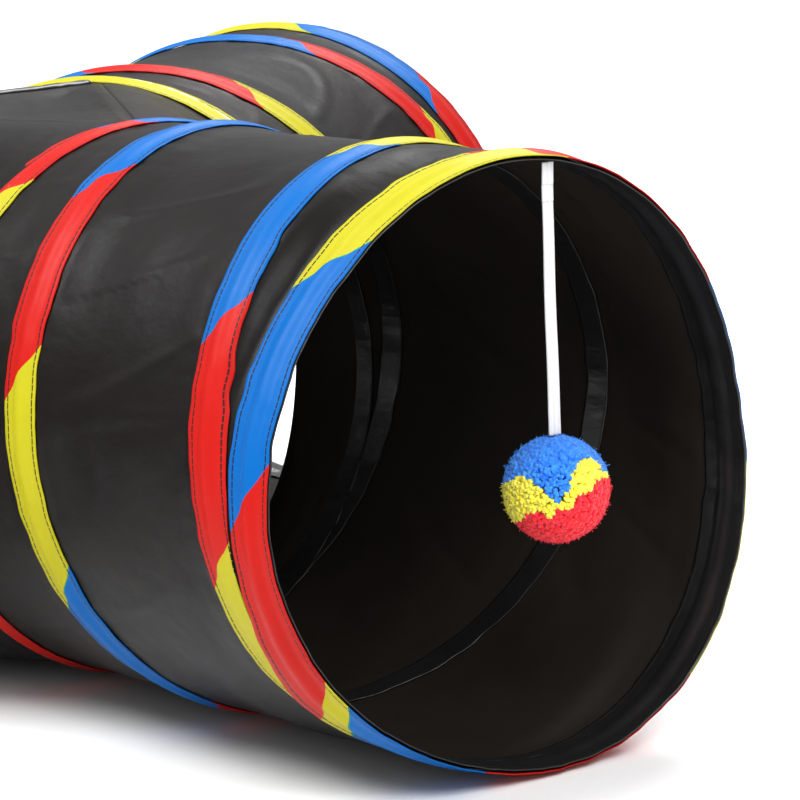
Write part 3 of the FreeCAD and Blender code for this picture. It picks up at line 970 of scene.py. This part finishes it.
# Where each colour starts, in degrees from the floor, on the mouth, the coil and the hub hoop.
PRINTS = {
    "front": {"mouth": ("red", [8, 44, 51, 93, 142, 187, 228, 268, 312]),
              "coil": ("red", [-11, 33, 79, 125, 173, 216, 259, 302, 345, 380, 423, 467, 511,
                               559, 604, 648]),
              "hub": ("red", [50, 97, 144, 177, 222, 266, 310, 352])},
    "back": {"mouth": ("blue", [48, 93, 138, 176, 221, 265, 309, 353]),
             "coil": ("yellow", [-4, 40, 84, 128.5, 165.4, 210, 254, 298, 342, 386, 428, 472,
                                 514, 554, 598, 640]),
             "hub": ("yellow", [24, 68, 118, 206, 250, 294, 336])},
    "side": {"mouth": ("yellow", [30, 76, 121, 165, 210, 254, 298, 341]),
             "coil": ("red", [8, 52, 96, 141, 187, 230, 274, 319, 362, 407, 452, 496, 540, 585,
                              628]),
             "hub": ("blue", [22, 66, 112, 157, 200, 245, 290, 334])}}
COIL_START, COIL_END = math.radians(-34), math.radians(705)     # cut to length by the trims
SPRING_ENDS = (math.radians(-12), math.radians(636))


def shares(starts, angles):
    """Colour starts in degrees as shares of a ribbon between two angles."""
    first, last = (math.degrees(angle) for angle in angles)
    return [(start - first) / (last - first) for start in starts if first < start < last]


def trim_at_mouth(piece, leg):
    """Cuts a coiled piece along the askew plane just inside the mouth tape."""
    outward = Vector(pointing(LEG_TURNS[leg]))
    across = (-outward).cross(Vector((0, 0, -1)))
    mouth = outward * LEG_LENGTH + Vector((0, 0, AXIS_HEIGHT))
    leaning = TILT / CLOTH_RADIUS
    normal = (-outward - across * leaning - Vector((0, 0, 1)) * leaning).normalized()
    plane = mouth - outward * (MOUTH_TAPE_WIDTH - 1.5 * MM)
    edit(piece, lambda: bpy.ops.mesh.bisect(plane_co=plane, plane_no=normal, use_fill=True,
                                            clear_inner=True))


def trim_at_hub(piece, leg):
    """Cuts a coiled piece where the hub hoop's tape covers it."""
    outward = Vector(pointing(LEG_TURNS[leg]))
    plane = outward * (HUB_REACH + HUB_TAPE_WIDTH / 2 - 1.0 * MM)
    edit(piece, lambda: bpy.ops.mesh.bisect(plane_co=plane, plane_no=-outward, use_fill=True,
                                            clear_outer=True))


def dress(leg, seed):
    """Tapes, bindings and wires of one leg."""
    full = (0.0, AROUND)
    mouth_length = AROUND * CLOTH_RADIUS
    coil = (COIL_START, COIL_END)
    coil_length = (COIL_END - COIL_START) * CLOTH_RADIUS

    def printed(part, angles, length, width):
        first, starts = PRINTS[leg][part]
        return tape_finish(f"{leg}_{part}_print", length, width, first, shares(starts, angles))

    tape = ribbon(f"{leg}_mouth_satin", leg, MOUTH_TAPE_WIDTH, full,
                  lambda angle: mouth_depth(angle) + 0.6 * MM * rolled_in(angle), TAPE_RADIUS,
                  lambda angle: 1 - 0.8 * rolled_in(angle), seed, TAPE_THICKNESS,
                  over_coil_end)
    keep(tape, f"{leg}_mouth", [f"{leg}_mouth_tape"],
         [printed("mouth", full, mouth_length, MOUTH_TAPE_WIDTH)])
    inner = ribbon(f"{leg}_mouth_lining", leg, MOUTH_TAPE_WIDTH, full,
                   lambda angle: mouth_depth(angle) + (0.5 - 1.1 * rolled_in(angle)) * MM,
                   BINDING_RADIUS, lambda angle: -0.8 * rolled_in(angle), seed,
                   BINDING_THICKNESS)
    keep(inner, f"{leg}_mouth", [f"{leg}_mouth_binding"], [MOUTH_BINDING])
    ring = wire(f"{leg}_mouth_wire", leg, full, mouth_depth, 1.7 * MM)
    keep(ring, f"{leg}_mouth", [f"{leg}_mouth_hoop"], [STEEL])

    satin = ribbon(f"{leg}_coil_satin", leg, COIL_TAPE_WIDTH, coil, coil_depth, TAPE_RADIUS,
                   over_wire, seed + 6, TAPE_THICKNESS)
    strip = ribbon(f"{leg}_coil_lining", leg, LINING_WIDTH, coil, coil_depth, BINDING_RADIUS,
                   flat, seed + 9, BINDING_THICKNESS)
    spring = wire(f"{leg}_coil_spring", leg, SPRING_ENDS, coil_depth)
    for piece in (satin, strip):
        trim_at_mouth(piece, leg)
        trim_at_hub(piece, leg)
    keep(satin, "hub", [f"{leg}_coil_tape"],
         [printed("coil", coil, coil_length, COIL_TAPE_WIDTH)])
    keep(strip, "hub", [f"{leg}_coil_binding"], [COIL_BINDING])
    keep(spring, "hub", [f"{leg}_coil_wire"], [STEEL])

    band = ribbon(f"{leg}_hub_satin", leg, HUB_TAPE_WIDTH, full, hoop_depth, TAPE_RADIUS,
                  over_wire, seed + 12, TAPE_THICKNESS)
    keep(band, "hub", [f"{leg}_hub_hoop_tape"],
         [printed("hub", full, mouth_length, HUB_TAPE_WIDTH)])
    facing = ribbon(f"{leg}_hub_lining", leg, HUB_TAPE_WIDTH, full, hoop_depth, BINDING_RADIUS,
                    flat, seed + 15, BINDING_THICKNESS)
    keep(facing, "hub", [f"{leg}_hub_hoop_binding"], [HUB_BINDING])
    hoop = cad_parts[f"{leg}_hub_hoop"]
    hoop.data.materials.clear()
    hoop.data.materials.append(STEEL)


MOUTH_BINDING = binding_finish("mouth_binding_gloss", MOUTH_TAPE_WIDTH)
COIL_BINDING = binding_finish("coil_binding_gloss", LINING_WIDTH)
HUB_BINDING = binding_finish("hub_binding_gloss", HUB_TAPE_WIDTH)
for number, leg in enumerate(LEG_TURNS):
    dress(leg, 100 + 40 * number)
    print(leg, "leg dressed:", sum(name.startswith(leg) for name in made), "pieces")

# %% [markdown]
# The hub. Two flat triangles lie above and below, and a curved panel wraps each corner from
# one to the other. A panel is straight across and round from top to floor, which is the shape
# that flat cloth takes between two hoops. Each panel ends on the hoops of its two legs.

# %% Hub panels
PANEL_REACH = HUB_REACH - 0.8 * MM
CORNER_TURNS = {"front_back": 60.0, "back_side": 180.0, "side_front": 300.0}
HALF, SLOPE = math.cos(math.radians(60)), math.sin(math.radians(60))    # of the hub's triangle
PANEL_WIDTH = 2 * PANEL_REACH * SLOPE
TRIANGLE_CUT = (150 * MM, 170 * MM)
SLACK_CORNERS = {"front_back": 25.0, "back_side": 8.0, "side_front": 0.0}   # mm of loose cloth


def hub_side(name, corner, seed):
    """One corner panel of the hub."""
    out = pointing(CORNER_TURNS[corner])
    sideways = np.array([-out[1], out[0], 0.0])
    piece = cut_flat(f"hub_{name}_cloth", PANEL_WIDTH, math.pi * CLOTH_RADIUS, 84, 168)

    def rule(along, across):
        from_top = (1 - across) * math.pi
        side = 2 * along - 1
        edge = smooth((1 - np.abs(side)) / 0.16) * smooth(np.sin(from_top) / 0.25)
        folds = uneven(0.11 + along * 0.4, across, (40, 9), seed)
        folds = folds * np.exp(-(1 - np.abs(side)) * 5)
        broad = uneven(0.3 + along * 0.4, across, (9, 6), seed + 1)
        hollow = np.cos(side * math.pi / 2) * np.clip(np.sin(from_top - 0.2), 0, 1) ** 0.9
        sag = (edge * (1.6 + 1.6 * broad + 2.2 * folds) + SLACK_CORNERS[corner] * hollow) * MM
        radius = CLOTH_RADIUS - sag * (1 - np.sin(from_top))
        bulge = CLOTH_RADIUS * np.sin(from_top) * SLOPE
        away = bulge - sag * np.sin(from_top)
        reach = (PANEL_REACH - (PANEL_REACH * HALF + bulge) * HALF) / SLOPE
        points = np.outer(PANEL_REACH * HALF + away, out) + np.outer(side * reach, sideways)
        points[:, 2] = AXIS_HEIGHT + radius * np.cos(from_top)
        return points

    close_up(roll(piece, rule))
    keep(piece, "hub", [f"hub_side_panel_{corner}"], [SHELL_OUT, SHELL_IN_PAINTED_LIGHT])
    return thicken(piece, CLOTH_THICKNESS, lining=1)


def triangle(piece, height_rule):
    """Rolls a flat cut out as a triangle with its corners towards the legs."""
    corners = [pointing(turn) * PANEL_REACH for turn in LEG_TURNS.values()]

    def rule(along, across):
        far = np.outer(1 - across, corners[1]) + np.outer(across, corners[2])
        points = np.outer(1 - along, corners[0]) + far * along[:, None]
        inset = np.full(len(points), 1.0)
        for turn in CORNER_TURNS.values():
            inset = np.minimum(inset, PANEL_REACH * HALF - points @ pointing(turn))
        points[:, 2] = height_rule(points, inset)
        return points

    return close_up(roll(piece, rule))


def top_height(points, inset):
    """The top panel sags a little and has a soft crease inside two of its edges."""
    sag = 3.2 * MM * smooth(inset / (30 * MM))
    ripple = uneven(points[:, 0] / 0.3 + 0.5, points[:, 1] / 0.3 + 0.5, (12, 12), 401) * 1.2 * MM
    open_side = smooth((points[:, 0] + 30 * MM) / (20 * MM))
    crease = 0.4 * MM * np.exp(-((inset - 5 * MM) / (3 * MM)) ** 2) * open_side
    return AXIS_HEIGHT + CLOTH_RADIUS - sag - ripple * smooth(inset / (14 * MM)) + crease


def floor_height(points, inset):
    """The floor panel drops from its edges and lies flat in the middle."""
    rim = AXIS_HEIGHT - CLOTH_RADIUS
    return rim - (rim - 0.6 * MM) * smooth(inset / (15 * MM))


top = triangle(cut_flat("hub_top_cloth", *TRIANGLE_CUT, 90, 100), top_height)
floor_cloth = triangle(cut_flat("hub_floor_cloth", *TRIANGLE_CUT, 70, 80), floor_height)
keep(top, "hub", ["hub_top_panel"], [SHELL_OUT, SHELL_IN_PAINTED_LIGHT])
keep(floor_cloth, "hub", ["hub_floor_panel"], [SHELL_IN_PAINTED_LIGHT])
thicken(top, CLOTH_THICKNESS, lining=1)
thicken(floor_cloth, CLOTH_THICKNESS, offset=1)
panels = [hub_side(name, corner, 300 + 20 * number) for number, (name, corner) in enumerate(
    (("front_corner", "front_back"), ("far_corner", "back_side"), ("near_corner", "side_front")))]
print("hub panels:", [panel.name for panel in panels])

# %% [markdown]
# One edge of the hub's top is closed by a folded double seam. It stands up as a soft roll
# with two rows of stitches.


# %% Folded hub seam
seam_low, seam_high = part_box("hub_top_seam")


def folded_seam():
    """The roll along the top edge between the back leg and the side leg."""
    length, width = seam_high.y - seam_low.y, seam_high.x - seam_low.x
    piece = cut_flat("hub_seam_roll", length, width, 110, 16)

    def rule(along, across):
        aside = 2 * across - 1
        pucker = uneven(along, across, (34, 3), 501)
        arched = np.sqrt(np.clip(1 - aside ** 2, 0, 1)) * (0.8 + 0.14 * pucker)
        tall = (seam_high.z - seam_low.z) * arched
        ends = smooth(np.minimum(along, 1 - along) / 0.03)
        drift = 0.8 * MM * uneven(along, np.full_like(along, 0.2), (9, 2), 502) * ends
        return np.stack([(seam_low.x + seam_high.x) / 2 + aside * width / 2 + drift,
                         seam_low.y + along * length, seam_low.z - 0.5 * MM + tall], 1)

    roll(piece, rule)
    thicken(piece, TAPE_THICKNESS)
    return keep(piece, "hub", ["hub_top_seam"], [SEAM])


SEAM = binding_finish("seam_fold", seam_high.x - seam_low.x)
seam = folded_seam()
print("seam:", len(seam.data.polygons), "faces")

# %% [markdown]
# The cloth's own meshes. The real legs close up like a concertina: each leg's cloth, coil, coil
# tape and lining flatten towards the hub hoop as its mouth slides in, and the mouth's own pieces
# ride along whole. Here each leg's cloth, coil tape, coil lining and coil spring gets a mesh of
# its own, and the bounds of each hub panel are read from its points.
#
# The stated size agrees with the cloth whatever its shape. A corner panel's isn't its cutting
# size: that is 172 mm wide and 367 mm long, with a 47 mm waist.


for leg, turn in LEG_TURNS.items():
    for part in ("sleeve_cloth", "coil_satin", "coil_lining", "coil_spring"):
        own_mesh(made[f"{leg}_{part}"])
for panel in panels + [top, floor_cloth]:
    low, high = points_of(panel).min(0), points_of(panel).max(0)
    panel in panels

# %% [markdown]
# A pale floor, three large soft lights and a bright, even surrounding. The key is at the left,
# one lamp lights the top from behind, and the fill reaches into the front mouth. Black satin
# shows only what it mirrors, so the lights' places decide where the cloth gleams.


# %% Floor and lights
def pale_floor():
    """A plain pale floor, far larger than the view."""
    bpy.ops.object.select_all(action="DESELECT")
    bpy.ops.mesh.primitive_plane_add(size=40)
    plane = bpy.context.object
    plane.name = "floor"
    finish = Finish("pale_floor", Roughness=0.9, Specular_IOR_Level=0.1)
    where = finish.node("ShaderNodeTexCoord", output=3)
    grain = finish.noise(where, 30, 3)
    finish.feed(Base_Color=finish.ramp(grain, (0.0, (0.86, 0.86, 0.86)), (1.0, (0.90, 0.90, 0.90))))
    plane.data.materials.append(finish.material)


def soft_light(name, where, target, size, power):
    """A square area light that faces a point."""
    lamp = bpy.data.lights.new(name, "AREA")
    lamp.shape, lamp.size, lamp.energy = "SQUARE", size, power
    holder = bpy.data.objects.new(name, lamp)
    holder.location = where
    holder.rotation_mode = "QUATERNION"
    holder.rotation_quaternion = (Vector(target) - Vector(where)).to_track_quat("-Z", "Y")
    bpy.context.scene.collection.objects.link(holder)


pale_floor()
soft_light("key", (-1.1, -1.5, 2.4), (0.1, 0, 0.1), 1.3, 88)
soft_light("rear", (-0.9, 1.75, 2.5), (0.1, 0, 0.1), 1.5, 84)
soft_light("fill", (2.2, -0.6, 2.0), (0.3, 0, 0.1), 1.4, 60)
world = bpy.data.worlds.new("studio")
world.use_nodes = True
nodes, links = world.node_tree.nodes, world.node_tree.links
height = nodes.new("ShaderNodeSeparateXYZ")
ramp = nodes.new("ShaderNodeValToRGB")
low_stop, high_stop = ramp.color_ramp.elements
low_stop.position, low_stop.color = 0.0, (0.30, 0.30, 0.31, 1)
high_stop.position, high_stop.color = 0.85, (1, 1, 1, 1)
links.new(nodes.new("ShaderNodeTexCoord").outputs["Generated"], height.inputs[0])
links.new(height.outputs["Z"], ramp.inputs[0])
links.new(ramp.outputs[0], nodes["Background"].inputs["Color"])
nodes["Background"].inputs["Strength"].default_value = 0.85
bpy.context.scene.world = world
bpy.context.scene.view_settings.view_transform = "Standard"
print("three soft lights, a bright surround and a pale floor")
